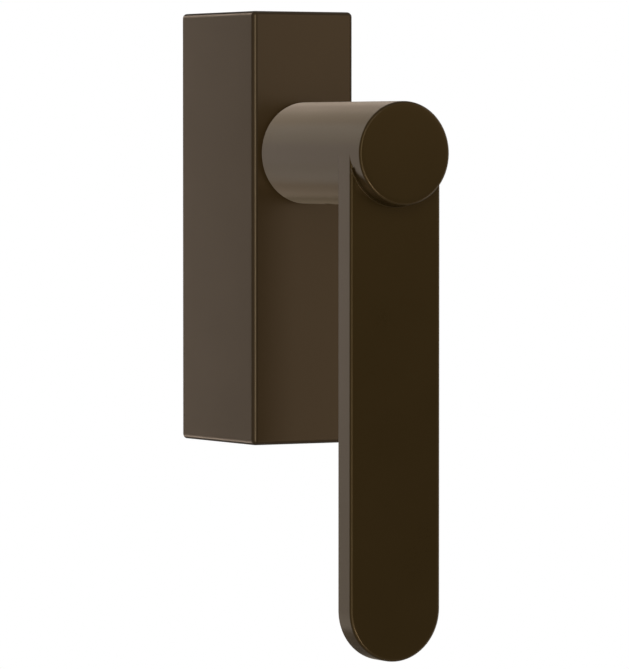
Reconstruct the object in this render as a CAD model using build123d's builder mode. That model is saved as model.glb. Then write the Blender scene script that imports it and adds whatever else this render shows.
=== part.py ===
"""Tilt-and-turn window handle with a deep rectangular box, a round neck and a flat blade.

Frame: the origin is on the turning axis in the face of the sash. +X is to the right of a
person facing the window, +Y goes into the window and +Z is up. Most planes are named by
their distance in front of the sash, towards that person, along -Y.
"""
import os

from build123d import *

os.makedirs("parts", exist_ok=True)

# ---- Driving dimensions, in millimetres --------------------------------------------------

# Box
BOX_WIDTH = 25.0
BOX_HEIGHT = 94.0
BOX_DEPTH = 32.0
BOX_TOP = 30.7  # above the turning axis
BOX_WALL = 1.8
BOX_EDGE = 1.1

# Neck, blade and cap share one diameter
NECK_RADIUS = 11.0
NECK_BACK = 32.8
BLADE_BACK = 65.7
BLADE_THICKNESS = 5.5
BLADE_REACH = 107.5  # from the turning axis to the tip
BLADE_EDGE = 0.6
CAP_FRONT = 75.0
CAP_EDGE = 0.6
NECK_BACK_EDGE = 0.25

# Journal behind the neck
JOURNAL_RADIUS = 7.0
JOURNAL_BACK = 19.6
GROOVE_RADIUS = 6.3
GROOVE_FRONT = 21.5
GROOVE_BACK = 20.5

# Spindle, the 7 mm square of window gears
SPINDLE_SIDE = 7.0
SPINDLE_CHAMFER = 0.5
SPINDLE_REACH = 14.0  # behind the sash's face
SPINDLE_FRONT = 54.0
SQUARE_HOLE_SIDE = 7.05
SQUARE_HOLE_SPARE = 0.5  # past the spindle's end

# Base plate and its fixings, on the 43 mm pattern of window gears
PLATE_THICKNESS = 4.0
PLATE_GAP = 0.2  # to the cover's inside, all round
FIXING_SPACING = 43.0
POST_RADIUS = 5.0
POST_LENGTH = 8.0
POST_CHAMFER = 0.5
FIXING_RADIUS = 2.5
FIXING_CORE_RADIUS = 2.2
FIXING_CORE_END = 8.5  # behind the sash's face
FIXING_HOLE_RADIUS = 2.75
FIXING_HEAD_RADIUS = 4.6
FIXING_TIP = 16.0  # behind the sash's face
SPINDLE_HOLE_RADIUS = 5.4

# Hook at the plate's top and boss at its foot
HOOK_WIDTH = 8.0
HOOK_HEIGHT = 0.8
HOOK_BACK = 1.8
HOOK_FRONT = 3.2
HOOK_GAP = 0.15
BOSS_WIDTH = 10.0
BOSS_HEIGHT = 10.0
BOSS_FRONT = 10.0

# The two blocks inside the box
BLOCK_WIDTH = 20.4
BLOCK_HEIGHT = 32.0
HOUSING_FRONT = 29.8
CARRIER_FRONT = 19.0
BUSH_BACK = 22.5
BUSH_RADIUS = 8.5
BUSH_BORE_RADIUS = 7.05
CLIP_CAVITY_RADIUS = 9.5
CARRIER_HOLE_RADIUS = 5.2
BLOCK_SCREW_SPACING = (14.6, 25.6)
BLOCK_SCREW_RADIUS = 1.5
BLOCK_SCREW_CORE_RADIUS = 1.3
BLOCK_SCREW_HOLE_RADIUS = 1.65
BLOCK_SCREW_HEAD_RADIUS = 2.8
BLOCK_SCREW_LENGTH = 23.0
BLOCK_SCREW_SINK = 0.1  # below the plate's back

# Guide ring between the neck and the cover
GUIDE_RADIUS = 9.9
GUIDE_BORE_RADIUS = 7.3
GUIDE_FRONT = 32.3
GUIDE_BACK = 29.9
COVER_HOLE_RADIUS = 10.1

# Rings and washers
CLIP_RADIUS = 8.9
CLIP_GAP = 0.05
CLIP_OPENING = 3.0
CLIP_EYE_RADIUS = 0.5
CLIP_EYE_PLACE = 7.9  # from the turning axis
CLIP_EYE_ANGLE = 18.0  # from the middle of the opening
SPRING_WASHER_THICKNESS = 0.4
SPRING_WASHER_FRONT = 22.4
THRUST_WASHER_RADIUS = 9.0
THRUST_WASHER_FRONT = 4.8

# Index wheel and detents
WHEEL_RADIUS = 10.2
WHEEL_FRONT = 8.8
WHEEL_BACK = 5.0
WHEEL_RECESS_RADIUS = 10.8
WHEEL_RECESS_FRONT = 9.2
DETENT_RADIUS = 7.9  # from the turning axis to a plunger's axis
PLUNGER_RADIUS = 1.9
PLUNGER_LENGTH = 4.7
PLUNGER_TIP = 8.9
PLUNGER_TRAVEL = 0.9
PLUNGER_BORE_RADIUS = 2.0
PLUNGER_BORE_FRONT = 18.0
DIMPLE_RADIUS = 2.25
SPRING_WIRE_RADIUS = 0.25
SPRING_COIL_RADIUS = 1.4
SPRING_PITCH = 1.0

# Small fasteners
SET_SCREW_RADIUS = 2.0
SPINDLE_SCREW_FRONT = 45.0
SPINDLE_SCREW_SINK = 0.5
COVER_SCREW_FRONT = 6.5
COVER_SCREW_LENGTH = 8.0
COVER_SCREW_SINK = 0.4
COVER_SCREW_HOLE_RADIUS = 2.15
DOWEL_RADIUS = 1.25
DOWEL_SPACING = 16.0
DOWEL_DEPTH = 3.0  # into the blade, and the same into the neck
DOWEL_END_GAP = 0.1
CLAMP_RADIUS = 2.5
CLAMP_CORE_RADIUS = 2.2
CLAMP_HEAD_RADIUS = 4.8
CLAMP_LENGTH = 12.0
CLAMP_HOLE_RADIUS = 2.7
CLAMP_HEAD_SINK = 0.2  # below the cap's spigot
CAP_SPIGOT_RADIUS = 6.45
CAP_SPIGOT_LENGTH = 1.4
CAP_SEAT_RADIUS = 6.5
CAP_SEAT_DEPTH = 1.5
HEAD_GAP = 0.1  # round a countersunk head
SOCKET_DEPTH = 1.6
SCREW_SOCKET = 0.8  # of the core's radius
SET_SCREW_SOCKET = 0.6  # of the thread's radius
TAP_SPARE = 1.0  # from a screw's tip to the end of its hole
CUT_SPARE = 1.0  # how far a cut runs past a face

# ---- Worked out from them ----------------------------------------------------------------

BOX_CENTRE = BOX_TOP - BOX_HEIGHT / 2
BOX_BOTTOM = BOX_TOP - BOX_HEIGHT
CAVITY_WIDTH = BOX_WIDTH - 2 * BOX_WALL
CAVITY_HEIGHT = BOX_HEIGHT - 2 * BOX_WALL
PLATE_WIDTH = CAVITY_WIDTH - 2 * PLATE_GAP
PLATE_HEIGHT = CAVITY_HEIGHT - 2 * PLATE_GAP
PLATE_TOP = BOX_CENTRE + PLATE_HEIGHT / 2
PLATE_BOTTOM = BOX_CENTRE - PLATE_HEIGHT / 2
BLADE_FRONT = BLADE_BACK + BLADE_THICKNESS
CLAMP_HEAD_FRONT = BLADE_FRONT - CAP_SPIGOT_LENGTH - CLAMP_HEAD_SINK


def in_front(distance):
    """Plane that faces the user, this far in front of the sash's face."""
    return Plane.XZ.offset(distance)


def finish(piece, name):
    """Label a finished piece and write it as its own file."""
    piece.part.label = name
    export_step(piece.part, f"parts/{name}.step")


def ring(front, back, outer_radius, inner_radius):
    """Plain ring on the turning axis."""
    with BuildPart() as body:
        with BuildSketch(in_front(back)):
            Circle(outer_radius)
            Circle(inner_radius, mode=Mode.SUBTRACT)
        extrude(amount=front - back)
    return body


def countersunk_screw(head_radius, core_radius, core_length, thread_radius, length):
    """Screw along +Y with the top of its head at the origin and a hexagon socket in it."""
    head_height = head_radius - core_radius
    with BuildPart() as screw:
        with BuildSketch(Plane.XY):
            with BuildLine():
                Polyline(
                    (0, 0),
                    (head_radius, 0),
                    (core_radius, head_height),
                    (core_radius, core_length),
                    (thread_radius, core_length),
                    (thread_radius, length),
                    (0, length),
                    close=True,
                )
            make_face()
        revolve(axis=Axis.Y)
        with BuildSketch(Plane.XZ):
            RegularPolygon(radius=core_radius * SCREW_SOCKET, side_count=6)
        extrude(amount=-SOCKET_DEPTH, mode=Mode.SUBTRACT)
    return screw.part


def set_screw(radius, length):
    """Set screw along +Z from the origin, with a hexagon socket in its lower end."""
    with BuildPart() as screw:
        Cylinder(radius, length, align=(Align.CENTER, Align.CENTER, Align.MIN))
        with BuildSketch(Plane.XY):
            RegularPolygon(radius=radius * SET_SCREW_SOCKET, side_count=6)
        extrude(amount=SOCKET_DEPTH, mode=Mode.SUBTRACT)
    return screw.part


# ---- Housing: the cover ------------------------------------------------------------------

with BuildPart() as housing_cover:
    with BuildSketch(in_front(0)):
        with Locations((0, BOX_CENTRE)):
            Rectangle(BOX_WIDTH, BOX_HEIGHT)
    extrude(amount=BOX_DEPTH)
    back_edges = housing_cover.faces().sort_by(Axis.Y)[-1].edges()
    fillet([edge for edge in housing_cover.edges() if edge not in back_edges], BOX_EDGE)
    with BuildSketch(in_front(0)):
        with Locations((0, BOX_CENTRE)):
            Rectangle(CAVITY_WIDTH, CAVITY_HEIGHT)
    extrude(amount=BOX_DEPTH - BOX_WALL, mode=Mode.SUBTRACT)
    with BuildSketch(in_front(0)):
        Circle(COVER_HOLE_RADIUS)
    extrude(amount=BOX_DEPTH, mode=Mode.SUBTRACT)
    with Locations((0, -COVER_SCREW_FRONT, BOX_BOTTOM)):
        Cylinder(COVER_SCREW_HOLE_RADIUS, 2 * (BOX_WALL + CUT_SPARE), mode=Mode.SUBTRACT)
    with Locations((0, -(HOOK_FRONT + HOOK_BACK) / 2, PLATE_TOP + HOOK_HEIGHT / 2)):
        Box(
            HOOK_WIDTH + 4 * HOOK_GAP,
            HOOK_FRONT - HOOK_BACK + 2 * HOOK_GAP,
            HOOK_HEIGHT + 2 * HOOK_GAP,
            mode=Mode.SUBTRACT,
        )
finish(housing_cover, "housing_cover")

# ---- Housing: the base plate and its screws ----------------------------------------------

with BuildPart() as base_plate:
    with BuildSketch(in_front(0)):
        with Locations((0, BOX_CENTRE)):
            Rectangle(PLATE_WIDTH, PLATE_HEIGHT)
    extrude(amount=PLATE_THICKNESS)
    with BuildSketch(in_front(0)):
        with GridLocations(0, FIXING_SPACING, 1, 2):
            Circle(POST_RADIUS)
    extrude(amount=-POST_LENGTH)
    chamfer(base_plate.faces().sort_by(Axis.Y)[-2:].edges(), POST_CHAMFER)
    with Locations((0, -BOSS_FRONT / 2, PLATE_BOTTOM + BOSS_HEIGHT / 2)):
        Box(BOSS_WIDTH, BOSS_FRONT, BOSS_HEIGHT)
    with Locations((0, -(HOOK_FRONT + HOOK_BACK) / 2, PLATE_TOP + HOOK_HEIGHT / 2)):
        Box(HOOK_WIDTH, HOOK_FRONT - HOOK_BACK, HOOK_HEIGHT)
    with BuildSketch(in_front(PLATE_THICKNESS)):
        Circle(SPINDLE_HOLE_RADIUS)
    extrude(amount=-PLATE_THICKNESS, mode=Mode.SUBTRACT)
    with Locations(in_front(PLATE_THICKNESS)):
        with GridLocations(0, FIXING_SPACING, 1, 2):
            CounterSinkHole(
                FIXING_HOLE_RADIUS, FIXING_HEAD_RADIUS + HEAD_GAP, PLATE_THICKNESS + POST_LENGTH
            )
    with Locations(-in_front(0)):
        with GridLocations(*BLOCK_SCREW_SPACING, 2, 2):
            CounterSinkHole(BLOCK_SCREW_HOLE_RADIUS, BLOCK_SCREW_HEAD_RADIUS + HEAD_GAP, PLATE_THICKNESS)
    with Locations((0, -COVER_SCREW_FRONT, PLATE_BOTTOM)):
        Cylinder(SET_SCREW_RADIUS, 2 * COVER_SCREW_LENGTH, mode=Mode.SUBTRACT)
finish(base_plate, "base_plate")

fixing_screw = countersunk_screw(
    FIXING_HEAD_RADIUS,
    FIXING_CORE_RADIUS,
    PLATE_THICKNESS + FIXING_CORE_END,
    FIXING_RADIUS,
    PLATE_THICKNESS + FIXING_TIP,
)
with BuildPart() as fixing_screws:
    for height in (FIXING_SPACING / 2, -FIXING_SPACING / 2):
        with Locations((0, -PLATE_THICKNESS, height)):
            add(fixing_screw)
finish(fixing_screws, "fixing_screws")

with BuildPart() as cover_screw:
    with Locations((0, -COVER_SCREW_FRONT, BOX_BOTTOM + COVER_SCREW_SINK)):
        add(set_screw(SET_SCREW_RADIUS, COVER_SCREW_LENGTH))
finish(cover_screw, "cover_screw")

# ---- Housing: the bearing block and its rings --------------------------------------------

with BuildPart() as bearing_housing:
    with BuildSketch(in_front(CARRIER_FRONT)):
        Rectangle(BLOCK_WIDTH, BLOCK_HEIGHT)
    extrude(amount=HOUSING_FRONT - CARRIER_FRONT)
    with BuildSketch(in_front(CARRIER_FRONT)):
        Circle(BUSH_RADIUS)
    extrude(amount=HOUSING_FRONT - CARRIER_FRONT, mode=Mode.SUBTRACT)
    with BuildSketch(in_front(CARRIER_FRONT)):
        Circle(CLIP_CAVITY_RADIUS)
    extrude(amount=BUSH_BACK - CARRIER_FRONT, mode=Mode.SUBTRACT)
    with BuildSketch(in_front(CARRIER_FRONT)):
        with GridLocations(*BLOCK_SCREW_SPACING, 2, 2):
            Circle(BLOCK_SCREW_RADIUS)
    extrude(amount=BLOCK_SCREW_LENGTH - CARRIER_FRONT + TAP_SPARE, mode=Mode.SUBTRACT)
finish(bearing_housing, "bearing_housing")

bearing_bush = ring(HOUSING_FRONT, BUSH_BACK, BUSH_RADIUS, BUSH_BORE_RADIUS)
finish(bearing_bush, "bearing_bush")

guide_ring = ring(GUIDE_FRONT, GUIDE_BACK, GUIDE_RADIUS, GUIDE_BORE_RADIUS)
finish(guide_ring, "guide_ring")

# ---- Housing: the detent carrier ---------------------------------------------------------

with BuildPart() as detent_carrier:
    with BuildSketch(in_front(PLATE_THICKNESS)):
        Rectangle(BLOCK_WIDTH, BLOCK_HEIGHT)
    extrude(amount=CARRIER_FRONT - PLATE_THICKNESS)
    with BuildSketch(in_front(PLATE_THICKNESS)):
        Circle(WHEEL_RECESS_RADIUS)
    extrude(amount=WHEEL_RECESS_FRONT - PLATE_THICKNESS, mode=Mode.SUBTRACT)
    with BuildSketch(in_front(PLATE_THICKNESS)):
        Circle(CARRIER_HOLE_RADIUS)
    extrude(amount=CARRIER_FRONT - PLATE_THICKNESS, mode=Mode.SUBTRACT)
    with BuildSketch(in_front(WHEEL_RECESS_FRONT)):
        with GridLocations(0, 2 * DETENT_RADIUS, 1, 2):
            Circle(PLUNGER_BORE_RADIUS)
    extrude(amount=PLUNGER_BORE_FRONT - WHEEL_RECESS_FRONT, mode=Mode.SUBTRACT)
    with BuildSketch(in_front(PLATE_THICKNESS)):
        with GridLocations(*BLOCK_SCREW_SPACING, 2, 2):
            Circle(BLOCK_SCREW_HOLE_RADIUS)
    extrude(amount=CARRIER_FRONT - PLATE_THICKNESS, mode=Mode.SUBTRACT)
finish(detent_carrier, "detent_carrier")

thrust_washer = ring(THRUST_WASHER_FRONT, PLATE_THICKNESS, THRUST_WASHER_RADIUS, SPINDLE_HOLE_RADIUS)
finish(thrust_washer, "thrust_washer")

block_screw = countersunk_screw(
    BLOCK_SCREW_HEAD_RADIUS,
    BLOCK_SCREW_CORE_RADIUS,
    BLOCK_SCREW_LENGTH / 2,
    BLOCK_SCREW_RADIUS,
    BLOCK_SCREW_LENGTH,
)
with BuildPart() as block_screws:
    with GridLocations(BLOCK_SCREW_SPACING[0], 0, 2, 1):
        for height in (BLOCK_SCREW_SPACING[1] / 2, -BLOCK_SCREW_SPACING[1] / 2):
            with Locations(Location((0, -BLOCK_SCREW_SINK, height), (0, 0, 180))):
                add(block_screw)
finish(block_screws, "block_screws")

# ---- Detents: a plunger and its spring above and below the axis --------------------------

for place, height in (("upper", DETENT_RADIUS), ("lower", -DETENT_RADIUS)):
    nose_centre = PLUNGER_TIP + PLUNGER_RADIUS
    plunger_front = PLUNGER_TIP + PLUNGER_LENGTH
    with BuildPart() as plunger:
        with BuildSketch(in_front(nose_centre)):
            with Locations((0, height)):
                Circle(PLUNGER_RADIUS)
        extrude(amount=plunger_front - nose_centre)
        with Locations((0, -nose_centre, height)):
            Sphere(PLUNGER_RADIUS)
    finish(plunger, f"{place}_detent_plunger")

    coil_back = plunger_front + SPRING_WIRE_RADIUS
    coil_front = PLUNGER_BORE_FRONT - SPRING_WIRE_RADIUS
    with BuildPart() as spring:
        with BuildLine():
            coil = Helix(
                pitch=SPRING_PITCH,
                height=coil_front - coil_back,
                radius=SPRING_COIL_RADIUS,
                center=(0, -coil_back, height),
                direction=(0, -1, 0),
            )
        with BuildSketch(Plane(coil @ 0, z_dir=coil % 0)):
            Circle(SPRING_WIRE_RADIUS)
        sweep(path=coil, is_frenet=True)
    finish(spring, f"{place}_detent_spring")

# ---- Handle: the neck --------------------------------------------------------------------

with BuildPart() as neck:
    with BuildSketch(in_front(NECK_BACK)):
        Circle(NECK_RADIUS)
    extrude(amount=BLADE_BACK - NECK_BACK)
    fillet(neck.edges().filter_by(GeomType.CIRCLE).sort_by(Axis.Y)[-1], NECK_BACK_EDGE)
    with BuildSketch(in_front(JOURNAL_BACK)):
        Circle(JOURNAL_RADIUS)
    extrude(amount=NECK_BACK - JOURNAL_BACK)
    with BuildSketch(in_front(GROOVE_BACK)):
        Circle(JOURNAL_RADIUS)
        Circle(GROOVE_RADIUS, mode=Mode.SUBTRACT)
    extrude(amount=GROOVE_FRONT - GROOVE_BACK, mode=Mode.SUBTRACT)
    with BuildSketch(in_front(JOURNAL_BACK)):
        Rectangle(SQUARE_HOLE_SIDE, SQUARE_HOLE_SIDE)
    extrude(amount=SPINDLE_FRONT + SQUARE_HOLE_SPARE - JOURNAL_BACK, mode=Mode.SUBTRACT)
    with Locations((0, -SPINDLE_SCREW_FRONT, 0)):
        Cylinder(
            SET_SCREW_RADIUS,
            NECK_RADIUS + CUT_SPARE,
            align=(Align.CENTER, Align.CENTER, Align.MAX),
            mode=Mode.SUBTRACT,
        )
    with BuildSketch(in_front(BLADE_BACK)):
        Circle(CLAMP_RADIUS)
    extrude(amount=CLAMP_HEAD_FRONT - CLAMP_LENGTH - TAP_SPARE - BLADE_BACK, mode=Mode.SUBTRACT)
    with BuildSketch(in_front(BLADE_BACK)):
        with GridLocations(DOWEL_SPACING, 0, 2, 1):
            Circle(DOWEL_RADIUS)
    extrude(amount=-DOWEL_DEPTH, mode=Mode.SUBTRACT)
finish(neck, "neck")

# ---- Handle: the blade -------------------------------------------------------------------

with BuildPart() as lever_blade:
    tip_centre = NECK_RADIUS - BLADE_REACH
    with BuildSketch(in_front(BLADE_BACK)):
        with Locations((0, tip_centre / 2)):
            Rectangle(2 * NECK_RADIUS, -tip_centre)
        with Locations((0, tip_centre)):
            Circle(NECK_RADIUS)
    extrude(amount=BLADE_THICKNESS)
    front_face = lever_blade.faces().sort_by(Axis.Y)[0]
    fillet(front_face.edges().sort_by(Axis.Z)[:-1], BLADE_EDGE)
    with BuildSketch(in_front(BLADE_BACK)):
        Circle(NECK_RADIUS)
    extrude(amount=BLADE_THICKNESS)
    with Locations(in_front(BLADE_FRONT)):
        CounterBoreHole(CLAMP_HOLE_RADIUS, CAP_SEAT_RADIUS, CAP_SEAT_DEPTH)
    with Locations(in_front(CLAMP_HEAD_FRONT)):
        CounterSinkHole(CLAMP_HOLE_RADIUS, CLAMP_HEAD_RADIUS + HEAD_GAP)
    with BuildSketch(in_front(BLADE_BACK)):
        with GridLocations(DOWEL_SPACING, 0, 2, 1):
            Circle(DOWEL_RADIUS)
    extrude(amount=DOWEL_DEPTH, mode=Mode.SUBTRACT)
finish(lever_blade, "lever_blade")

with BuildPart() as end_cap:
    with BuildSketch(in_front(BLADE_FRONT)):
        Circle(NECK_RADIUS)
    extrude(amount=CAP_FRONT - BLADE_FRONT)
    fillet(end_cap.faces().sort_by(Axis.Y)[0].edges(), CAP_EDGE)
    with BuildSketch(in_front(BLADE_FRONT)):
        Circle(CAP_SPIGOT_RADIUS)
    extrude(amount=-CAP_SPIGOT_LENGTH)
finish(end_cap, "end_cap")

with BuildPart() as clamp_screw:
    with Locations((0, -CLAMP_HEAD_FRONT, 0)):
        add(
            countersunk_screw(
                CLAMP_HEAD_RADIUS,
                CLAMP_CORE_RADIUS,
                CLAMP_LENGTH / 2,
                CLAMP_RADIUS,
                CLAMP_LENGTH,
            )
        )
finish(clamp_screw, "clamp_screw")

with BuildPart() as dowel_pins:
    with BuildSketch(in_front(BLADE_BACK)):
        with GridLocations(DOWEL_SPACING, 0, 2, 1):
            Circle(DOWEL_RADIUS)
    extrude(amount=DOWEL_DEPTH - DOWEL_END_GAP, both=True)
finish(dowel_pins, "dowel_pins")

# ---- Handle: the spindle and what sits on it ---------------------------------------------

with BuildPart() as spindle:
    with BuildSketch(in_front(-SPINDLE_REACH)):
        Rectangle(SPINDLE_SIDE, SPINDLE_SIDE)
    extrude(amount=SPINDLE_FRONT + SPINDLE_REACH)
    chamfer(spindle.edges(), SPINDLE_CHAMFER)
finish(spindle, "spindle")

with BuildPart() as spindle_screw:
    screw_foot = SPINDLE_SCREW_SINK - NECK_RADIUS
    with Locations((0, -SPINDLE_SCREW_FRONT, screw_foot)):
        add(set_screw(SET_SCREW_RADIUS, -screw_foot - SPINDLE_SIDE / 2))
finish(spindle_screw, "spindle_screw")

with BuildPart() as index_wheel:
    with BuildSketch(in_front(WHEEL_BACK)):
        Circle(WHEEL_RADIUS)
        Rectangle(SQUARE_HOLE_SIDE, SQUARE_HOLE_SIDE, mode=Mode.SUBTRACT)
    extrude(amount=WHEEL_FRONT - WHEEL_BACK)
    with Locations(in_front(PLUNGER_TIP + PLUNGER_RADIUS - PLUNGER_TRAVEL)):
        with PolarLocations(DETENT_RADIUS, 4):
            Sphere(DIMPLE_RADIUS, mode=Mode.SUBTRACT)
finish(index_wheel, "index_wheel")

with BuildPart() as retaining_clip:
    with BuildSketch(in_front(GROOVE_BACK + CLIP_GAP)):
        Circle(CLIP_RADIUS)
        Circle(GROOVE_RADIUS + CLIP_GAP, mode=Mode.SUBTRACT)
        with Locations((0, -JOURNAL_RADIUS)):
            Rectangle(CLIP_OPENING, JOURNAL_RADIUS, mode=Mode.SUBTRACT)
        for angle in (-90 - CLIP_EYE_ANGLE, -90 + CLIP_EYE_ANGLE):
            with PolarLocations(CLIP_EYE_PLACE, 1, start_angle=angle):
                Circle(CLIP_EYE_RADIUS, mode=Mode.SUBTRACT)
    extrude(amount=GROOVE_FRONT - GROOVE_BACK - 2 * CLIP_GAP)
finish(retaining_clip, "retaining_clip")

with BuildPart() as spring_washer:
    with BuildSketch(Plane.XY):
        with BuildLine():
            Polyline(
                (GUIDE_BORE_RADIUS, -GROOVE_FRONT - SPRING_WASHER_THICKNESS),
                (GUIDE_BORE_RADIUS, -GROOVE_FRONT),
                (BUSH_RADIUS, SPRING_WASHER_THICKNESS - SPRING_WASHER_FRONT),
                (BUSH_RADIUS, -SPRING_WASHER_FRONT),
                close=True,
            )
        make_face()
    revolve(axis=Axis.Y)
finish(spring_washer, "spring_washer")
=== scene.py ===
"""Looks of a tilt-and-turn window handle.

A deep satin bronze box holds a round neck, and the neck carries a flat blade with a
half-round end and a disc in front of its eye. Steel screws, posts and a square spindle
stand out of the back. Every piece is in metres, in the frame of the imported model: +X to
the right of a person facing the window, +Y into the window, +Z up, with the origin on the
turning axis in the face of the sash.
"""
from __future__ import annotations

import logging
import math
from dataclasses import dataclass, field
from enum import Enum, IntEnum
from typing import Callable, Iterable, Sequence

import bmesh
import bpy
from mathutils import Matrix, Vector


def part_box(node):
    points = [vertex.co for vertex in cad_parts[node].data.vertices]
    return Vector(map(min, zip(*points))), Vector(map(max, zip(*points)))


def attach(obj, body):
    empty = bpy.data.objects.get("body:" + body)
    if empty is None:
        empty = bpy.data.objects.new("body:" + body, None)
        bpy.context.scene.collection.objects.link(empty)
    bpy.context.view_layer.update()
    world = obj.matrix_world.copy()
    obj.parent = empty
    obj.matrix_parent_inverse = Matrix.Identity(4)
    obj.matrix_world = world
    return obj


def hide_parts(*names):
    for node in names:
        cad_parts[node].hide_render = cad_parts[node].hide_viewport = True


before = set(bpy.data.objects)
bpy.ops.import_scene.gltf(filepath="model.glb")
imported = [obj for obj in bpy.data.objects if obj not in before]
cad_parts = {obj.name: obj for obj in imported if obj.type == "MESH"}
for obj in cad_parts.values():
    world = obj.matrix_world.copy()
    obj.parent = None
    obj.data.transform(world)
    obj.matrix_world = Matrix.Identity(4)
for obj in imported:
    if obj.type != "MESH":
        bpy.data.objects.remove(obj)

log = logging.getLogger("window_handle")

MM = 0.001
TURN = 2 * math.pi
ROUND_STEPS = 128
LEVEL_GAP = 0.01 * MM
TOUCH_GAP = 0.001 * MM
MERGE_GAP = 0.0005 * MM
SHARP_ANGLE = math.radians(35)
WHITE = (1.0, 1.0, 1.0)
Colour = tuple[float, float, float]


class Axis(IntEnum):
    """The place of a coordinate in a vector."""

    X = 0
    Y = 1
    Z = 2


class MixSocket(IntEnum):
    """The colour sockets of a Mix node: its two inputs and its output."""

    LOW = 6
    HIGH = 7
    MIXED = 2


class Detail(Enum):
    """How many finer octaves a noise pattern has."""

    PLAIN = 1.0
    SOFT = 2.0
    FINE = 3.0
    RICH = 4.0


# ---- Shader kit --------------------------------------------------------------------------


class Signal:
    """One output socket that can be used in arithmetic.

    Each operator adds one Math node to the tree that the socket belongs to.
    """

    def __init__(self, kit: NodeKit, socket: bpy.types.NodeSocket | None) -> None:
        """Wrap a socket.

        Args:
            kit: The node tree that holds the socket.
            socket: The output socket, or None for a node that ends the tree.
        """
        self.kit = kit
        self.socket = socket

    def _math(self, operation: str, first: Signal | float, second: Signal | float) -> Signal:
        """Add a Math node.

        Args:
            operation: The node's operation.
            first: Its first value.
            second: Its second value.

        Returns:
            The node's result.
        """
        return self.kit.node("ShaderNodeMath", {"operation": operation}, {0: first, 1: second})

    def __add__(self, other: Signal | float) -> Signal:
        """Return self + other."""
        return self._math("ADD", self, other)

    def __radd__(self, other: float) -> Signal:
        """Return other + self."""
        return self._math("ADD", other, self)

    def __rsub__(self, other: float) -> Signal:
        """Return other - self."""
        return self._math("SUBTRACT", other, self)

    def __mul__(self, other: Signal | float) -> Signal:
        """Return self * other."""
        return self._math("MULTIPLY", self, other)


NodeValue = Signal | float | Sequence[float]


class NodeKit:
    """The node tree of a material or of the world, filled node by node."""

    def __init__(self, owner: bpy.types.Material | bpy.types.World) -> None:
        """Empty the owner's node tree.

        Args:
            owner: The material or world.
        """
        owner.use_nodes = True
        self.tree = owner.node_tree
        self.tree.nodes.clear()

    def node(
        self,
        kind: str,
        settings: dict[str, object] | None = None,
        inputs: dict[int | str, NodeValue] | None = None,
        output: int | str = 0,
    ) -> Signal:
        """Add one node.

        Args:
            kind: The node's type.
            settings: Its properties, set before its inputs.
            inputs: Values or links of its sockets, by name or number.
            output: The output to return.

        Returns:
            The chosen output.
        """
        made = self.tree.nodes.new(kind)
        for name, value in (settings or {}).items():
            setattr(made, name, value)
        for name, value in (inputs or {}).items():
            if isinstance(value, Signal):
                self.tree.links.new(value.socket, made.inputs[name])
            else:
                made.inputs[name].default_value = value
        return Signal(self, made.outputs[output] if made.outputs else None)

    def blend(self, amount: Signal, low: Colour, high: Colour) -> Signal:
        """Return a colour between low and high.

        Args:
            amount: From 0 for low to 1 for high.
            low: The one colour.
            high: The other colour.
        """
        sockets = {0: amount, MixSocket.LOW: (*low, 1.0), MixSocket.HIGH: (*high, 1.0)}
        return self.node("ShaderNodeMix", {"data_type": "RGBA"}, sockets, MixSocket.MIXED)


class Surface(NodeKit):
    """The node tree of one material, with a Principled shader at its end."""

    def __init__(self, name: str) -> None:
        """Start an empty material.

        Args:
            name: The material's name.
        """
        self.material = bpy.data.materials.new(name)
        super().__init__(self.material)

    def place(self, size: Sequence[float] = (1.0, 1.0, 1.0)) -> Signal:
        """Return the object coordinates, stretched by size along each axis."""
        own = self.node("ShaderNodeTexCoord", output="Object")
        return self.node("ShaderNodeMapping", {}, {"Vector": own, "Scale": size})

    def noise(self, where: Signal, feature: float, detail: Detail) -> Signal:
        """Return a noise value from 0 to 1.

        Args:
            where: The coordinates to read.
            feature: The size of its lumps, in metres.
            detail: The number of finer octaves.
        """
        sockets = {"Vector": where, "Scale": 1.0 / feature, "Detail": detail.value}
        return self.node("ShaderNodeTexNoise", {}, sockets)

    def bump(self, height: Signal, depth: float) -> Signal:
        """Return a normal from a height of 0 to 1 that is depth metres tall."""
        return self.node("ShaderNodeBump", {}, {"Height": height, "Distance": depth})

    def close(self, inputs: dict[int | str, NodeValue]) -> bpy.types.Material:
        """Add the Principled shader and the output.

        Args:
            inputs: The shader's sockets.

        Returns:
            The finished material.
        """
        shader = self.node("ShaderNodeBsdfPrincipled", {}, inputs)
        self.node("ShaderNodeOutputMaterial", {}, {"Surface": shader})
        return self.material


# ---- Finishes ----------------------------------------------------------------------------


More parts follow.
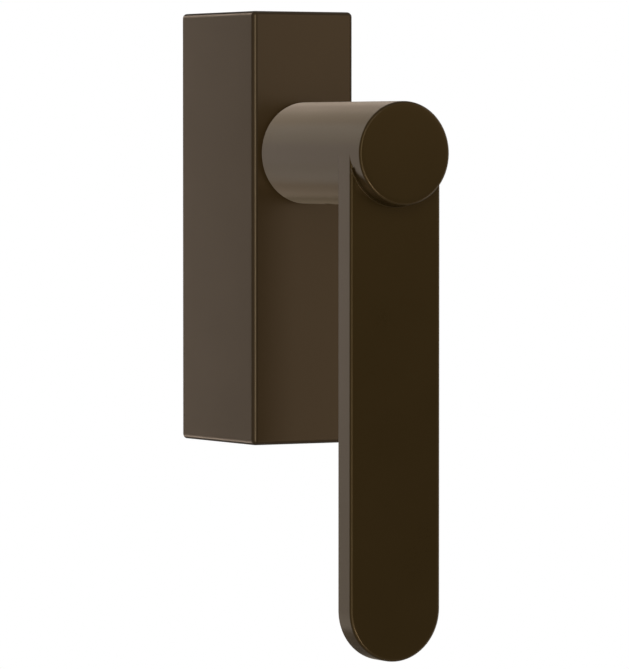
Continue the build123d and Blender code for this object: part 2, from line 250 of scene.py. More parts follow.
@dataclass(frozen=True)
class SatinBronze:
    """Dark bronze coat on a smooth metal piece: a fine orange peel and a soft sheen.

    The shares say how much of a mixed pattern comes from its first part, and the rubs how
    much rougher the coat gets where a pattern is high.
    """

    name: str
    slot: str
    dark: Colour
    light: Colour
    roughness: float
    sheen_tint: Colour
    sheen_level: float = 0.5
    index: float = 1.5
    cloud_size: float = 14 * MM
    cloud_share: float = 0.6
    cloud_rub: float = 0.04
    grit_size: float = 0.12 * MM
    grit_rub: float = 0.03
    peel_size: float = 0.55 * MM
    peel_depth: float = 0.0016 * MM
    peel_share: float = 0.8

    def build(self) -> bpy.types.Material:
        """Make the material.

        Returns:
            The material.
        """
        coat = Surface(self.name)
        where = coat.place()
        cloud = coat.noise(where, self.cloud_size, Detail.FINE)
        grit = coat.noise(where, self.grit_size, Detail.PLAIN)
        peel = coat.noise(where, self.peel_size, Detail.SOFT)
        tone = cloud * self.cloud_share + grit * (1 - self.cloud_share)
        relief = peel * self.peel_share + grit * (1 - self.peel_share)
        rubbed = cloud * self.cloud_rub
        return coat.close(
            {
                "Base Color": coat.blend(tone, self.dark, self.light),
                "Roughness": self.roughness - self.grit_rub + rubbed + grit * self.grit_rub,
                "IOR": self.index,
                "Specular IOR Level": self.sheen_level,
                "Specular Tint": (*self.sheen_tint, 1.0),
                "Normal": coat.bump(relief, self.peel_depth),
            }
        )


@dataclass(frozen=True)
class CastMetal:
    """Tumbled casting: grey metal with a fine pebble and darker hollows."""

    name: str
    slot: str
    dark: Colour
    light: Colour
    roughness: float = 0.38
    pebble_size: float = 0.45 * MM
    pebble_depth: float = 0.012 * MM
    pebble_rub: float = 0.22
    stain_size: float = 9 * MM
    stain_share: float = 0.7

    def build(self) -> bpy.types.Material:
        """Make the material.

        Returns:
            The material.
        """
        cast = Surface(self.name)
        where = cast.place()
        pebble = cast.noise(where, self.pebble_size, Detail.FINE)
        stain = cast.noise(where, self.stain_size, Detail.RICH)
        tone = stain * self.stain_share + pebble * (1 - self.stain_share)
        return cast.close(
            {
                "Base Color": cast.blend(tone, self.dark, self.light),
                "Metallic": 1.0,
                "Roughness": self.roughness + pebble * self.pebble_rub,
                "Normal": cast.bump(pebble, self.pebble_depth),
            }
        )


class GrainAxis(Enum):
    """The way that drawing or turning lines run on a steel piece."""

    ALONG_Y = (1.0, 0.02, 1.0)
    ALONG_Z = (1.0, 1.0, 0.02)
    NONE = (1.0, 1.0, 1.0)


@dataclass(frozen=True)
class Steel:
    """Plated or blackened steel with fine drawn lines and a little colour drift."""

    name: str
    slot: str
    cool: Colour
    warm: Colour
    roughness: float
    grain: GrainAxis
    line_size: float = 0.16 * MM
    line_depth: float = 0.003 * MM
    line_polish: float = 0.05
    line_rub: float = 0.16
    drift_size: float = 5 * MM

    def build(self) -> bpy.types.Material:
        """Make the material.

        Returns:
            The material.
        """
        steel = Surface(self.name)
        lines = steel.noise(steel.place(self.grain.value), self.line_size, Detail.SOFT)
        drift = steel.noise(steel.place(), self.drift_size, Detail.FINE)
        return steel.close(
            {
                "Base Color": steel.blend(drift, self.cool, self.warm),
                "Metallic": 1.0,
                "Roughness": self.roughness - self.line_polish + lines * self.line_rub,
                "Normal": steel.bump(lines, self.line_depth),
            }
        )


@dataclass(frozen=True)
class SinteredBronze:
    """Pressed and sintered bronze: warm metal with small dark pores."""

    name: str
    slot: str
    dark: Colour
    light: Colour
    roughness: float = 0.52
    pore_size: float = 0.3 * MM
    pore_depth: float = 0.008 * MM
    pore_polish: float = 0.15

    def build(self) -> bpy.types.Material:
        """Make the material.

        Returns:
            The material.
        """
        bronze = Surface(self.name)
        pores = bronze.noise(bronze.place(), self.pore_size, Detail.FINE)
        return bronze.close(
            {
                "Base Color": bronze.blend(pores, self.dark, self.light),
                "Metallic": 1.0,
                "Roughness": self.roughness - pores * self.pore_polish,
                "Normal": bronze.bump(pores, self.pore_depth),
            }
        )


@dataclass(frozen=True)
class MouldedPlastic:
    """Black moulded plastic with a fine spark-eroded grain."""

    name: str
    slot: str
    dark: Colour
    light: Colour
    roughness: float = 0.5
    grain_size: float = 0.2 * MM
    grain_depth: float = 0.006 * MM
    grain_rub: float = 0.15

    def build(self) -> bpy.types.Material:
        """Make the material.

        Returns:
            The material.
        """
        plastic = Surface(self.name)
        grain = plastic.noise(plastic.place(), self.grain_size, Detail.SOFT)
        return plastic.close(
            {
                "Base Color": plastic.blend(grain, self.dark, self.light),
                "Roughness": self.roughness + grain * self.grain_rub,
                "Normal": plastic.bump(grain, self.grain_depth),
            }
        )


Finish = SatinBronze | CastMetal | Steel | SinteredBronze | MouldedPlastic


@dataclass(frozen=True)
class FinishShop:
    """Every finish of the handle, and the materials made from them."""

    # The box and the handle wear two copies of one coat. The box's copy has a lighter, greyer base and
    # a paler sheen tint than the handle's. This is painted light: it paints in the lighter tone that
    # the light gives the box, while the real pieces most likely share one coat.
    box: Finish = SatinBronze(
        "dark_bronze_box", "bronze_box", (0.024, 0.0155, 0.0075), (0.029, 0.0185, 0.0095), 0.30,
        (1.0, 0.74, 0.50),
    )
    handle: Finish = SatinBronze(
        "dark_bronze_handle", "bronze_handle", (0.0235, 0.0143, 0.0037), (0.0285, 0.0176, 0.0049),
        0.28, (1.0, 0.70, 0.40),
    )
    casting: Finish = CastMetal(
        "tumbled_casting", "cast_metal", (0.30, 0.31, 0.33), (0.50, 0.51, 0.53)
    )
    zinc: Finish = Steel(
        "zinc_plated_steel", "zinc_steel", (0.60, 0.63, 0.68), (0.70, 0.68, 0.62), 0.28,
        GrainAxis.ALONG_Y,
    )
    black: Finish = Steel(
        "blackened_steel", "black_steel", (0.035, 0.036, 0.042), (0.06, 0.055, 0.05), 0.38,
        GrainAxis.NONE,
    )
    spring: Finish = Steel(
        "polished_spring_steel", "spring_steel", (0.50, 0.51, 0.53), (0.58, 0.57, 0.55), 0.22,
        GrainAxis.ALONG_Y,
    )
    bush: Finish = SinteredBronze(
        "sintered_bronze", "bush_bronze", (0.30, 0.17, 0.07), (0.56, 0.36, 0.18)
    )
    plastic: Finish = MouldedPlastic(
        "black_moulded_plastic", "black_plastic", (0.010, 0.010, 0.011), (0.022, 0.022, 0.023)
    )
    made: dict[str, bpy.types.Material] = field(default_factory=dict)

    def paint(self, piece: bpy.types.Object, finish: Finish) -> None:
        """Give a piece one finish.

        Args:
            piece: A new piece or a CAD node.
            finish: The finish for all of it.
        """
        if finish.name not in self.made:
            self.made[finish.name] = finish.build()
        piece.data.materials.clear()
        piece.data.materials.append(self.made[finish.name])


# ---- Mesh kit ----------------------------------------------------------------------------


def on_level(edge: bmesh.types.BMEdge, level: float) -> bool:
    """Return whether both ends of an edge lie at this place on Y."""
    return all(abs(vert.co.y - level) < LEVEL_GAP for vert in edge.verts)


class Workpiece:
    """A mesh under way: bmesh operators in metres, then one finished object."""

    def __init__(self, name: str) -> None:
        """Start an empty workpiece.

        Args:
            name: The finished object's name.
        """
        self.name = name
        self.bm = bmesh.new()

    def block(self, low: Vector, high: Vector) -> None:
        """Add a box between two corners.

        Args:
            low: Its lowest corner.
            high: Its highest corner.
        """
        size = high - low
        place = Matrix.Translation((low + high) / 2) @ Matrix.Diagonal((*size, 1.0))
        bmesh.ops.create_cube(self.bm, size=1.0, matrix=place)

    def turned(
        self,
        profile: Sequence[tuple[float, float]],
        centre: Vector = Vector(),
        start: float = 0.0,
        angle: float = TURN,
        steps: int = ROUND_STEPS,
        rise: float = 0.0,
    ) -> list[bmesh.types.BMVert]:
        """Turn a profile about an axis along Y.

        Args:
            profile: Points as (radius, y). A full turn makes a solid when the line starts and
                ends on the axis or comes back to its start; a shorter or rising one closes the
                line and its two end sections.
            centre: A point on the axis.
            start: The angle of the first section, from -Z towards +X.
            angle: How far to turn.
            steps: The number of steps.
            rise: How far the profile moves along Y over the whole turn.

        Returns:
            The new vertices.
        """
        before = set(self.bm.verts)
        across, down = math.sin(start), -math.cos(start)
        section = [
            self.bm.verts.new(centre + Vector((radius * across, y, radius * down)))
            for radius, y in profile
        ]
        edges = [self.bm.edges.new(pair) for pair in zip(section, section[1:])]
        full = math.isclose(angle, TURN)
        if not full:
            edges.append(self.bm.edges.new((section[-1], section[0])))
        bmesh.ops.spin(
            self.bm,
            geom=section + edges,
            cent=centre,
            axis=(0, -1, 0),
            angle=angle,
            dvec=(0, rise / steps, 0),
            steps=steps,
            use_merge=full,
        )
        made = [vert for vert in self.bm.verts if vert not in before]
        bmesh.ops.remove_doubles(self.bm, verts=made, dist=MERGE_GAP)
        if not full:
            open_edges = [
                edge for edge in self.bm.edges if edge.is_boundary and edge.verts[0] not in before
            ]
            bmesh.ops.holes_fill(self.bm, edges=open_edges)
        return [vert for vert in self.bm.verts if vert not in before]

    def round_edges(
        self, chosen: Callable[[bmesh.types.BMEdge], bool], radius: float, segments: int
    ) -> None:
        """Round edges over.

        Args:
            chosen: Says whether an edge is rounded.
            radius: The width that each side gives up.
            segments: The number of strips.
        """
        bmesh.ops.bevel(
            self.bm,
            geom=[edge for edge in self.bm.edges if chosen(edge)],
            offset=radius,
            offset_type="OFFSET",
            segments=segments,
            profile=0.5,
            affect="EDGES",
            material=-1,
        )

    def flat_face(self, axis: Axis, level: float) -> bmesh.types.BMFace:
        """Return the largest face whose vertices all lie at a level on one axis.

        Args:
            axis: The axis.
            level: The place on that axis.
        """
        on_level = [
            face
            for face in self.bm.faces
            if all(abs(vert.co[axis] - level) < TOUCH_GAP for vert in face.verts)
        ]
        return max(on_level, key=lambda face: face.calc_area())

    def fill_between(self, edges: Iterable[bmesh.types.BMEdge], normal: Vector) -> None:
        """Fill the flat area between outlines.

        Args:
            edges: The outlines' edges.
            normal: The way the new faces point.
        """
        bmesh.ops.triangle_fill(
            self.bm, use_beauty=True, use_dissolve=False, edges=list(edges), normal=normal
        )

    def round_hole(
        self, axis: Axis, levels: tuple[float, float], centre: Vector, radius: float
    ) -> None:
        """Cut a round hole through a flat wall.

        Args:
            axis: The hole's axis, Y or Z.
            levels: The wall's outer and inner face on that axis.
            centre: A point on the hole's axis.
            radius: The hole's radius.
        """
        rims = []
        turn = Matrix.Rotation(math.pi / 2, 4, "X") if axis == Axis.Y else Matrix.Identity(4)
        for level in levels:
            face = self.flat_face(axis, level)
            normal = face.normal.copy()
            outline = list(face.edges)
            bmesh.ops.delete(self.bm, geom=[face], context="FACES_ONLY")
            middle = centre.copy()
            middle[axis] = level
            ring = bmesh.ops.create_circle(
                self.bm,
                segments=ROUND_STEPS,
                radius=radius,
                matrix=Matrix.Translation(middle) @ turn,
            )["verts"]
            rim = list({edge for vert in ring for edge in vert.link_edges})
            self.fill_between(outline + rim, normal)
            rims.extend(rim)
        bmesh.ops.bridge_loops(self.bm, edges=rims)

    def finish(self, weighted: bool = True) -> bpy.types.Object:
        """Close the workpiece and make its object, at the origin.

        Args:
            weighted: Whether flat faces keep flat shading beside their rounded edges.

        Returns:
            The object.
        """
        bmesh.ops.recalc_face_normals(self.bm, faces=self.bm.faces)
        mesh = bpy.data.meshes.new(self.name)
        self.bm.to_mesh(mesh)
        self.bm.free()
        mesh.shade_smooth()
        mesh.set_sharp_from_angle(angle=SHARP_ANGLE)
        piece = bpy.data.objects.new(self.name, mesh)
        bpy.context.scene.collection.objects.link(piece)
        if weighted:
            modifier = piece.modifiers.new("even_shading", "WEIGHTED_NORMAL")
            modifier.keep_sharp = True
        return piece


@dataclass
class Assembly:
    """Pieces of one body, built and dressed together."""

    shop: FinishShop
    body: str
    pieces: list[bpy.types.Object] = field(default_factory=list)

    def settle(self, piece: bpy.types.Object, finish: Finish, *nodes: str) -> None:
        """Dress a finished piece and let it ride on the body.

        Args:
            piece: The finished piece.
            finish: Its finish.
            nodes: The CAD nodes that it replaces.
        """
        self.shop.paint(piece, finish)
        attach(piece, self.body)
        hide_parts(*nodes)
        self.pieces.append(piece)
        log.info("%s rides on %s, %d faces", piece.name, self.body, len(piece.data.polygons))

    def keep(self, finish: Finish, *nodes: str) -> None:
        """Dress CAD nodes that keep their shape.

        Args:
            finish: Their finish.
            nodes: The nodes' names.
        """
        for node in nodes:
            self.shop.paint(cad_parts[node], finish)
            self.pieces.append(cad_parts[node])
            log.info("%s keeps its shape on %s, finish %s", node, self.body, finish.name)


# ---- The box -----------------------------------------------------------------------------


@dataclass
class Box(Assembly):
    """The deep box: its cover, its guide ring, and the castings and screws inside it.

    The thread's foot and land are half-widths, as shares of its pitch.
    """

    body: str = "housing"
    wall: float = 1.8 * MM
    edge: float = 1.1 * MM
    edge_segments: int = 10
    hole_gap: float = 0.2 * MM
    screw_hole_gap: float = 0.15 * MM
    bush_wall: float = 1.2 * MM
    ring_edge: float = 0.2 * MM
    ring_segments: int = 3
    screw_head: float = 4.6 * MM
    screw_land: float = 0.2 * MM
    socket: float = 1.73 * MM
    socket_depth: float = 1.7 * MM
    thread_radius: float = 2.5 * MM
    thread_depth: float = 0.4 * MM
    thread_pitch: float = 0.8 * MM
    thread_sink: float = 0.1 * MM
    thread_foot: float = 0.42
    thread_land: float = 0.06
    thread_steps: int = 32
    screw_steps: int = 96

    def build(self) -> None:
        """Build and dress the box's pieces."""
        self.cover()
        self.guide_ring()
        self.fixing_screws()
        shop = self.shop
        self.keep(shop.casting, "base_plate", "bearing_housing", "detent_carrier")
        self.keep(shop.zinc, "block_screws")
        self.keep(shop.black, "cover_screw")
        self.keep(shop.spring, "upper_detent_spring", "lower_detent_spring")
        self.keep(shop.bush, "bearing_bush")
        self.keep(shop.plastic, "thrust_washer")

    def cover(self) -> None:
        """Build the cover: a rounded shell, open at the back, with its two holes."""
        low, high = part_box("housing_cover")
        shell = Workpiece("box_cover")
        shell.block(low, high)
        shell.round_edges(lambda edge: not on_level(edge, high.y), self.edge, self.edge_segments)
        inset = Vector((self.wall, self.wall, self.wall))
        inner_low, inner_high = low + inset, high - inset
        inner_high.y = high.y
        shell.block(inner_low, inner_high)
        self._open_back(shell, high.y)
        ring_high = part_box("guide_ring")[1]
        screw_low, screw_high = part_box("cover_screw")
        screw_centre = (screw_low + screw_high) / 2
        neck_hole = ring_high.x + self.hole_gap
        screw_hole = screw_high.x + self.screw_hole_gap
        shell.round_hole(Axis.Y, (low.y, inner_low.y), Vector(), neck_hole)
        shell.round_hole(Axis.Z, (low.z, inner_low.z), screw_centre, screw_hole)
        self.settle(shell.finish(), self.shop.box, "housing_cover")

    @staticmethod
    def _open_back(shell: Workpiece, back: float) -> None:
        """Join the outer and the inner wall by a flat rim.

        Args:
            shell: The cover under way, with a solid outer and inner block.
            back: The rim's place on Y.
        """
        rim = []
        for _ in range(2):
            face = shell.flat_face(Axis.Y, back)
            rim.extend(face.edges)
            bmesh.ops.delete(shell.bm, geom=[face], context="FACES_ONLY")
        shell.fill_between(rim, Vector((0, 1, 0)))

    def guide_ring(self) -> None:
        """Build the plastic ring between the cover and the neck."""
        low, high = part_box("guide_ring")
        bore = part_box("bearing_bush")[1].x - self.bush_wall
        corner = (bore, low.y)
        ring = Workpiece("neck_guide_ring")
        ring.turned([corner, (high.x, low.y), (high.x, high.y), (bore, high.y), corner])
        ring.round_edges(lambda edge: on_level(edge, low.y), self.ring_edge, self.ring_segments)
        self.settle(ring.finish(), self.shop.plastic, "guide_ring")

    def fixing_screws(self) -> None:
        """Build the two countersunk screws, each with its socket and its cut thread."""
        low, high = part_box("fixing_screws")
        post_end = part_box("base_plate")[1].y
        core = self.thread_radius - self.thread_depth
        socket_floor = low.y + self.socket_depth
        head_side = low.y + self.screw_land
        neck = head_side + self.screw_head - core
        tip_chamfer = core - self.thread_depth
        root = core - self.thread_sink
        foot = self.thread_foot * self.thread_pitch
        land = self.thread_land * self.thread_pitch
        last = high.y - self.thread_depth - foot
        turns = math.floor((high.y - post_end) / self.thread_pitch) - 1
        screws = Workpiece("threaded_fixing_screws")
        for height in (high.z - self.screw_head, low.z + self.screw_head):
            centre = Vector((0, 0, height))
            made = screws.turned(
                [
                    (0, socket_floor),
                    (self.socket, socket_floor),
                    (self.socket, low.y),
                    (self.screw_head, low.y),
                    (self.screw_head, head_side),
                    (core, neck),
                    (core, high.y - self.thread_depth),
                    (tip_chamfer, high.y),
                    (0, high.y),
                ],
                centre,
                steps=self.screw_steps,
            )
            self._hexagon(made, centre, socket_floor)
            screws.turned(
                [
                    (root, last - foot),
                    (self.thread_radius, last - land),
                    (self.thread_radius, last + land),
                    (root, last + foot),
                ],
                centre,
                angle=turns * TURN,
                steps=turns * self.thread_steps,
                rise=-turns * self.thread_pitch,
            )
        self.settle(screws.finish(weighted=False), self.shop.zinc, "fixing_screws")

    def _hexagon(self, made: list[bmesh.types.BMVert], centre: Vector, floor: float) -> None:
        """Turn a screw's round socket into a hexagonal one.

        Args:
            made: The screw's vertices.
            centre: A point on its axis.
            floor: The socket's floor on Y.
        """
        side = TURN / 6
        for vert in made:
            arm = Vector((vert.co.x, 0, vert.co.z)) - Vector((centre.x, 0, centre.z))
            if vert.co.y < floor + TOUCH_GAP and abs(arm.length - self.socket) < TOUCH_GAP:
                off_flat = math.atan2(arm.x, arm.z) % side - side / 2
                reach = math.cos(side / 2) / math.cos(off_flat)
                vert.co.x = centre.x + arm.x * reach
                vert.co.z = centre.z + arm.z * reach


# ---- The handle --------------------------------------------------------------------------


@dataclass
class Handle(Assembly):
    """Everything that turns: neck, blade and cap, and what sits on the spindle.

    The crown is the strip along an edge where the blade's and the cap's faces fall back.
    """

    body: str = "handle"
    front_edge: float = 0.6 * MM
    front_segments: int = 8
    back_edge: float = 0.3 * MM
    back_segments: int = 4
    crown_width: float = 1.6 * MM
    crown_drop: float = 0.12 * MM
    spigot_margin: float = 1.65 * MM
    bead: float = 0.15 * MM
    bead_gap: float = 0.16 * MM
    bead_ends: float = math.radians(16)
    bead_facets: int = 6
    bead_steps: int = 64

    def build(self) -> None:
        """Build and dress the handle's pieces."""
        self.blade()
        self.cap()
        shop = self.shop
        self.keep(shop.handle, "neck")
        self.keep(shop.zinc, "spindle", "clamp_screw", "dowel_pins")
        self.keep(shop.black, "spindle_screw", "retaining_clip", "spring_washer")
        self.keep(shop.casting, "index_wheel")

    def blade(self) -> None:
        """Build the blade: a flat bar with a half-round end, its eye, and a bead at the cap."""
        low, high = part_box("lever_blade")
        radius = high.x
        bar = Workpiece("blade")
        self._bar(bar, low, high, radius)
        bar.turned([(0, low.y), (radius, low.y), (radius, high.y), (0, high.y)])
        self._bead(bar, radius, low.y)
        self.settle(bar.finish(), self.shop.handle, "lever_blade")

    def _bar(self, bar: Workpiece, low: Vector, high: Vector, radius: float) -> None:
        """Add the flat bar below the axis.

        Args:
            bar: The workpiece.
            low: The blade's lowest corner.
            high: The blade's highest corner.
            radius: Half of its width.
        """
        tip_centre = Vector((0, high.y, low.z + radius))
        outline = bmesh.ops.create_circle(
            bar.bm,
            segments=ROUND_STEPS,
            radius=radius,
            matrix=Matrix.Translation(tip_centre) @ Matrix.Rotation(math.pi / 2, 4, "X"),
        )["verts"]
        upper = [vert for vert in outline if vert.co.z > tip_centre.z + TOUCH_GAP]
        bmesh.ops.delete(bar.bm, geom=upper, context="VERTS")
        ends = [vert for vert in bar.bm.verts if len(vert.link_edges) == 1]
        tops = [bar.bm.verts.new((end.co.x, end.co.y, 0)) for end in ends]
        for end, top in zip(ends, tops):
            bar.bm.edges.new((end, top))
        bar.bm.edges.new(tops)
        back = bmesh.ops.contextual_create(bar.bm, geom=list(bar.bm.edges))["faces"]
        raised = bmesh.ops.extrude_face_region(bar.bm, geom=back, use_keep_orig=True)["geom"]
        front = [item for item in raised if isinstance(item, bmesh.types.BMVert)]
        shoulder = low.y + self.crown_drop
        bmesh.ops.translate(bar.bm, verts=front, vec=(0, shoulder - high.y, 0))
        bmesh.ops.recalc_face_normals(bar.bm, faces=bar.bm.faces)
        bmesh.ops.inset_region(
            bar.bm,
            faces=[bar.flat_face(Axis.Y, shoulder)],
            thickness=self.crown_width,
            depth=self.crown_drop,
        )
        for level, width, segments in (
            (shoulder, self.front_edge, self.front_segments),
            (high.y, self.back_edge, self.back_segments),
        ):
            bar.round_edges(lambda edge: self._is_outline(edge, level), width, segments)

    @staticmethod
    def _is_outline(edge: bmesh.types.BMEdge, level: float) -> bool:
        """Return whether an edge is on the bar's outline at this place on Y, its top left out."""
        top = all(abs(vert.co.z) < LEVEL_GAP for vert in edge.verts)
        return on_level(edge, level) and not top

    def _bead(self, bar: Workpiece, radius: float, front: float) -> None:
        """Add the fine half-round bead on the blade's face, round the lower side of the cap.

        Args:
            bar: The workpiece.
            radius: The cap's radius.
            front: The blade's face on Y.
        """
        middle = radius + self.bead_gap + self.bead
        foot = front + self.bead
        angles = [math.pi * facet / self.bead_facets for facet in range(self.bead_facets + 1)]
        arch = [
            (middle - self.bead * math.cos(angle), front - self.bead * math.sin(angle))
            for angle in angles
        ]
        bar.turned(
            [(middle - self.bead, foot), *arch, (middle + self.bead, foot)],
            start=self.bead_ends - math.pi / 2,
            angle=math.pi - 2 * self.bead_ends,
            steps=self.bead_steps,
        )

    def cap(self) -> None:
        """Build the disc in front of the eye, with the spigot behind it."""
        low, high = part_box("end_cap")
        blade_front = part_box("lever_blade")[0].y
        radius = high.x
        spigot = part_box("clamp_screw")[1].x + self.spigot_margin
        shoulder = low.y + self.crown_drop
        disc = Workpiece("cap_disc")
        disc.turned(
            [
                (0, low.y),
                (radius - self.crown_width, low.y),
                (radius, shoulder),
                (radius, blade_front),
                (spigot, blade_front),
                (spigot, high.y),
                (0, high.y),
            ]
        )
        disc.round_edges(
            lambda edge: on_level(edge, shoulder), self.front_edge, self.front_segments
        )
        self.settle(disc.finish(), self.shop.handle, "end_cap")


# ---- The studio --------------------------------------------------------------------------


@dataclass
class Studio:
    """White room, soft lights, a pale floor and the camera.

    The room is bright, but dim in two cones, which the front faces and the neck's flank
    mirror. Each cone holds the cosines where it starts and where it is fully dim. Heading
    and drop are the camera's angles to the left of the front and above the handle, and its
    lens and sensor are in millimetres.
    """

    box: Box
    handle: Handle
    heading: float = math.radians(29.9)
    drop: float = math.radians(2.09)
    distance: float = 1.131
    lens: float = 279.8
    sensor: float = 36.0
    nearest: float = 10 * MM
    aim_right: float = 2.33 * MM
    aim_up: float = -39.45 * MM
    floor_gap: float = 400 * MM
    floor_radius: float = 0.45
    floor_mottle: float = 60 * MM
    floor_low: Colour = (0.84, 0.84, 0.83)
    floor_high: Colour = (0.88, 0.88, 0.87)
    floor_roughness: float = 0.7
    dim: Colour = (0.08, 0.076, 0.07)
    bright: Colour = (0.35, 0.335, 0.32)
    mirrored_cone: tuple[float, float] = (0.80, 0.96)
    window_cone: tuple[float, float] = (0.55, 0.75)
    lamp_ring: float = 1.2

    def build(self) -> None:
        """Set up everything round the object."""
        self.look()
        self.camera()
        self.floor()
        self.room()
        self.lights()

    @staticmethod
    def look() -> None:
        """Show colours as they are, with no film curve."""
        bpy.context.scene.view_settings.view_transform = "Standard"
        bpy.context.scene.view_settings.look = "None"

    def camera(self) -> None:
        """Place the camera to the left of the handle, a little above its middle."""
        cover_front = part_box("housing_cover")[0].y
        right = Vector((math.cos(self.heading), -math.sin(self.heading), 0))
        back = Vector(
            (
                -math.sin(self.heading) * math.cos(self.drop),
                -math.cos(self.heading) * math.cos(self.drop),
                math.sin(self.drop),
            )
        )
        aim = Vector((0, cover_front, self.aim_up)) + right * self.aim_right
        data = bpy.data.cameras.new("studio_camera")
        data.lens = self.lens
        data.sensor_width = self.sensor
        data.clip_start = self.nearest
        camera = bpy.data.objects.new("studio_camera", data)
        camera.location = aim + back * self.distance
        camera.rotation_euler = back.to_track_quat("Z", "Y").to_euler()
        bpy.context.scene.collection.objects.link(camera)
        bpy.context.scene.camera = camera

    def floor(self) -> None:
        """Lay a pale round floor under the handle."""
        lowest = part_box("lever_blade")[0].z
        plate = Workpiece("studio_floor")
        bmesh.ops.create_circle(
            plate.bm,
            cap_ends=True,
            segments=ROUND_STEPS,
            radius=self.floor_radius,
            matrix=Matrix.Translation((0, 0, lowest - self.floor_gap)),
        )
        floor = plate.finish(weighted=False)
        paint = Surface("pale_floor")
        mottle = paint.noise(paint.place(), self.floor_mottle, Detail.FINE)
        colour = paint.blend(mottle, self.floor_low, self.floor_high)
        floor.data.materials.append(
            paint.close({"Base Color": colour, "Roughness": self.floor_roughness})
        )

    def room(self) -> None:
        """Fill the room with soft light; the camera itself sees white."""
        world = bpy.data.worlds.new("white_room")
        bpy.context.scene.world = world
        kit = NodeKit(world)
        mirrored = (math.sin(self.heading), -math.cos(self.heading), 0.0)
        way = kit.node("ShaderNodeTexCoord", output="Generated")
        off_mirrored = self._away_from(kit, way, mirrored, self.mirrored_cone)
        off_window = self._away_from(kit, way, (0.0, 1.0, 0.0), self.window_cone)
        glow = kit.blend(off_mirrored * off_window, self.dim, self.bright)
        lit = kit.node("ShaderNodeBackground", inputs={"Color": glow})
        seen = kit.node("ShaderNodeBackground", inputs={"Color": (*WHITE, 1.0)})
        looked_at = kit.node("ShaderNodeLightPath", output="Is Camera Ray")
        both = kit.node("ShaderNodeMixShader", inputs={0: looked_at, 1: lit, 2: seen})
        kit.node("ShaderNodeOutputWorld", inputs={0: both})

    @staticmethod
    def _away_from(
        kit: NodeKit, way: Signal, centre: Sequence[float], cone: tuple[float, float]
    ) -> Signal:
        """Return 0 near a direction and 1 away from it.

        Args:
            kit: The world's tree.
            way: The direction looked at.
            centre: The middle of the dim area.
            cone: The cosines where it starts to dim and where it is fully dim.
        """
        product = {"operation": "DOT_PRODUCT"}
        cosine = kit.node("ShaderNodeVectorMath", product, {0: way, 1: centre}, "Value")
        span = {"From Min": cone[0], "From Max": cone[1], "To Min": 1.0, "To Max": 0.0}
        smooth = {"interpolation_type": "SMOOTHSTEP"}
        return kit.node("ShaderNodeMapRange", smooth, {"Value": cosine, **span})

    def _round(self, heading: float) -> tuple[float, float, float]:
        """Return a place level with the handle, at degrees to the right of its front."""
        way = math.radians(heading)
        return (self.lamp_ring * math.sin(way), -self.lamp_ring * math.cos(way), 0.0)

    def lights(self) -> None:
        """Hang the soft boxes."""
        tall, strip, wide, small = (0.42, 1.6), (0.21, 1.6), (0.35, 0.25), (0.25, 0.25)
        straw, cream = (1.0, 1.0, 0.85), (1.0, 0.93, 0.85)
        box, handle = self.box, self.handle
        neck = (handle, box)
        soft_boxes = (
            SoftBox("box_front_glow", self._round(30), *tall, 0.86, (1.0, 0.99, 1.0), box),
            SoftBox("box_front_glow_far", self._round(40), *tall, 0.60, (1.0, 0.71, 0.25), box, handle),
            SoftBox("box_side_glow", self._round(-165), *strip, 4.8, (1.0, 0.84, 0.70), box),
            SoftBox("near_edge_strip", self._round(-35), *strip, 7.5, straw, box),
            SoftBox("blade_edge_strip", self._round(-35), *strip, 4.0, straw, handle),
            SoftBox("handle_key", (-0.05, -0.50, 0.32), 0.28, 0.16, 1.5, WHITE, handle),
            SoftBox("cap_glow", (0.25, -0.433, 0.12), 0.30, 0.25, 0.42, (1.0, 0.85, 0.6), handle),
            SoftBox("handle_side_glow", self._round(66), *tall, 1.7, cream, handle),
            SoftBox("cap_rim_light", (-0.12, -0.9, -0.52), 0.30, 0.16, 12.0, cream, handle),
            SoftBox("neck_glow_low_left", (-0.30, 0.5, -0.25), *wide, 1.02, (1.0, 0.95, 0.89), *neck),
            SoftBox("neck_glow_left", (-0.30, 0.5, 0.0), *wide, 1.12, (1.0, 0.95, 0.93), *neck),
            SoftBox("neck_glow_high_left", (-0.30, 0.5, 0.25), *wide, 1.26, (1.0, 0.95, 0.87), *neck),
            SoftBox("neck_glow_low", (0.0, 0.5, -0.25), *small, 0.74, (1.0, 0.82, 0.63), *neck),
            SoftBox("neck_glow_high", (0.0, 0.5, 0.25), *small, 1.20, (1.0, 0.86, 0.69), *neck),
            SoftBox("neck_glow_low_right", (0.30, 0.5, -0.25), *wide, 0.32, (1.0, 0.80, 0.56), *neck),
            SoftBox("neck_glow_high_right", (0.30, 0.5, 0.25), *wide, 1.05, (1.0, 0.83, 0.68), *neck),
        )
        for soft_box in soft_boxes:
            soft_box.hang()


class LampLink(Enum):
    """What a lamp's list does with its members."""

    INCLUDE = "INCLUDE"
    EXCLUDE = "EXCLUDE"


def gather(pieces: Iterable[bpy.types.Object], link: LampLink) -> bpy.types.Collection:
    """Gather pieces for one of a lamp's lists.

    Args:
        pieces: The pieces.
        link: What the list does with them.

    Returns:
        The collection.
    """
    group = bpy.data.collections.new("lamp_link")
    for piece in pieces:
        group.objects.link(piece)
    for member in group.collection_objects:
        member.light_linking.link_state = link.value
    return group


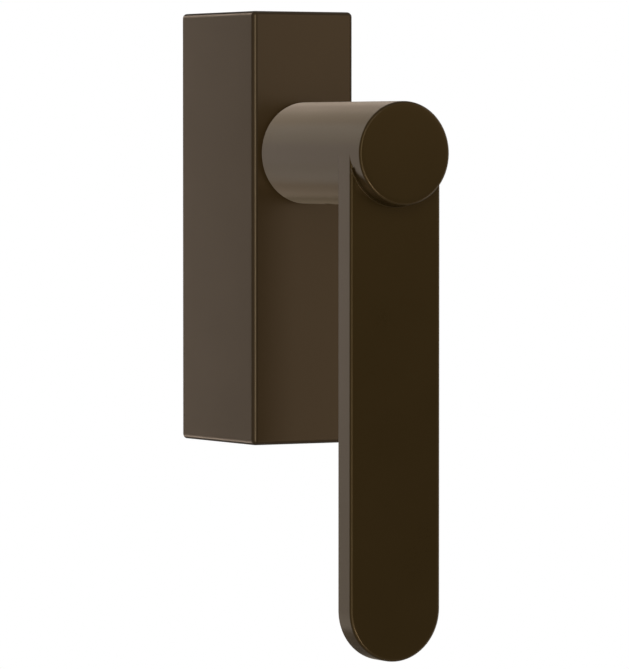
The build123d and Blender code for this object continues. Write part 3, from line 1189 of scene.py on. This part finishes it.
@dataclass(frozen=True)
class SoftBox:
    """A rectangular lamp, for every piece or for one assembly alone.

    The unseen assembly doesn't stop its light.
    """

    name: str
    centre: tuple[float, float, float]
    width: float
    height: float
    radiance: float
    colour: Colour
    lit: Assembly | None = None
    unseen: Assembly | None = None

    def hang(self) -> None:
        """Add the lamp, turned to the handle."""
        lamp = bpy.data.lights.new(self.name, "AREA")
        lamp.shape = "RECTANGLE"
        lamp.size = self.width
        lamp.size_y = self.height
        lamp.energy = self.radiance * math.pi * self.width * self.height
        lamp.color = self.colour
        holder = bpy.data.objects.new(self.name, lamp)
        holder.location = self.centre
        holder.rotation_euler = Vector(self.centre).to_track_quat("Z", "Y").to_euler()
        holder.visible_camera = False
        bpy.context.scene.collection.objects.link(holder)
        if self.lit:
            lit = gather(self.lit.pieces, LampLink.INCLUDE)
            holder.light_linking.receiver_collection = lit
        if self.unseen:
            unseen = gather(self.unseen.pieces, LampLink.EXCLUDE)
            holder.light_linking.blocker_collection = unseen


# ---- The whole object --------------------------------------------------------------------


def main() -> None:
    """Build the whole handle and its studio."""
    logging.basicConfig(level=logging.INFO, format="%(name)s: %(message)s")
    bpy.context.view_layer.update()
    shop = FinishShop()
    box, handle = Box(shop), Handle(shop)
    for assembly in (box, handle):
        assembly.build()
    for place in ("upper", "lower"):
        Assembly(shop, f"{place}_plunger").keep(shop.spring, f"{place}_detent_plunger")
    Studio(box, handle).build()


if __name__ == "__main__":
    main()
